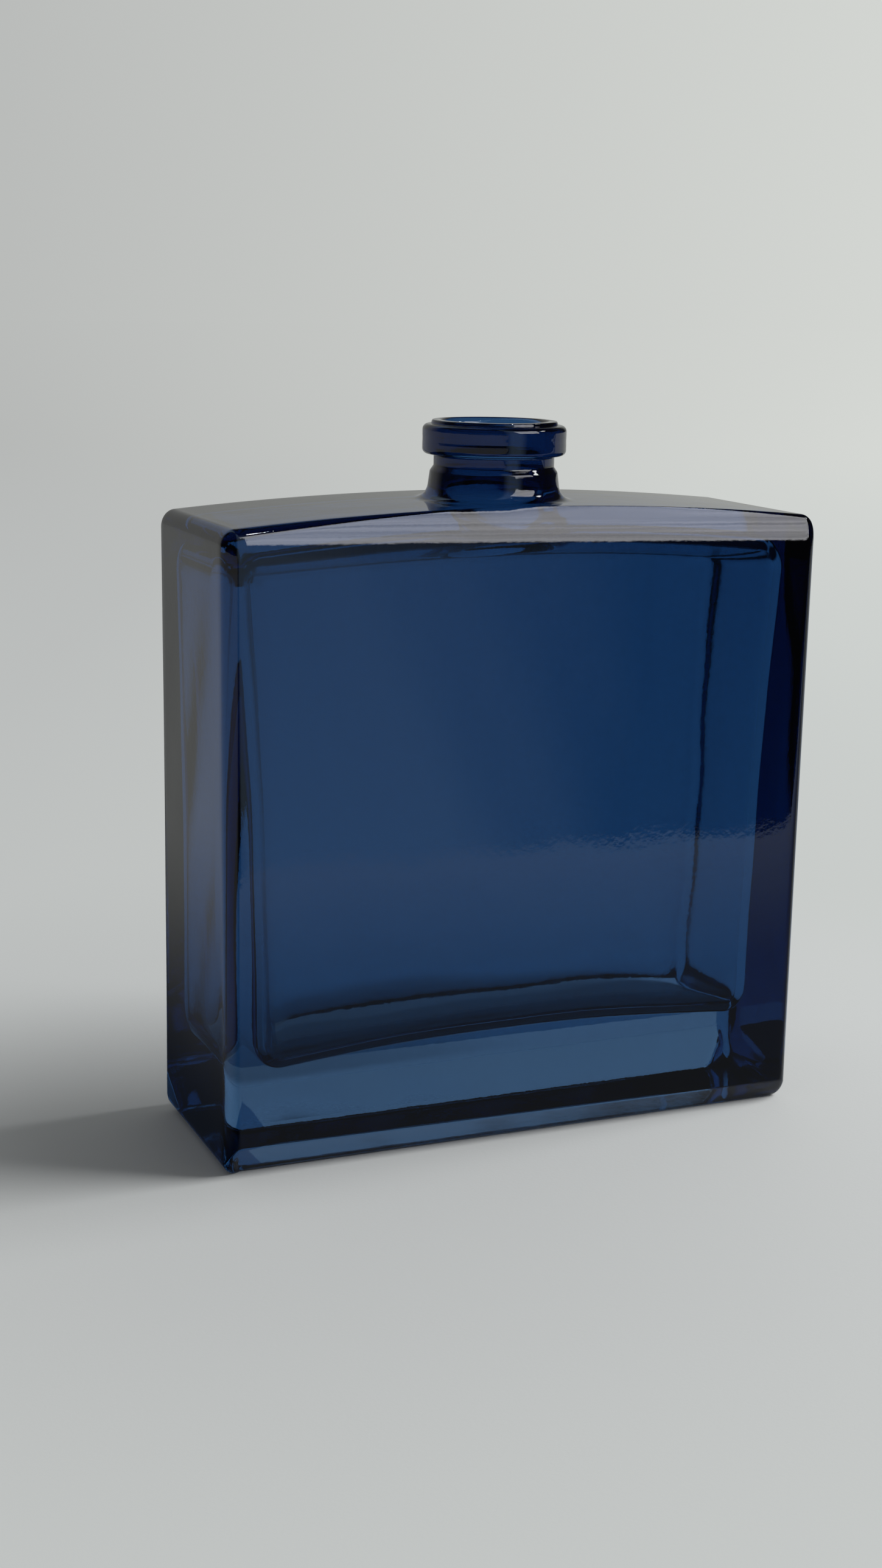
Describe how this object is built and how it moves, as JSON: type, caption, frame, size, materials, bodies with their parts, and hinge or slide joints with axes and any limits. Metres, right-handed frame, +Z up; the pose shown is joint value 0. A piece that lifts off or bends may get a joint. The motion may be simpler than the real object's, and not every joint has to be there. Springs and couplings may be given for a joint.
{
  "type": "flat glass bottle",
  "caption": "Flat rectangular glass bottle with an arched shoulder, a thick base and a short crimp neck, open at the mouth.",
  "frame": {"origin": "centre of the base, on the plane that the bottle stands on", "axes": "+Z up along the neck, +X across the width to the right of the front face, +Y from the front face to the back face"},
  "size_m": [0.066, 0.023, 0.075],
  "materials": {
    "blue_glass": "polished, deep translucent blue"
  },
  "bodies": {
    "root": {"glass_bottle": "blue_glass"}
  },
  "joints": []
}
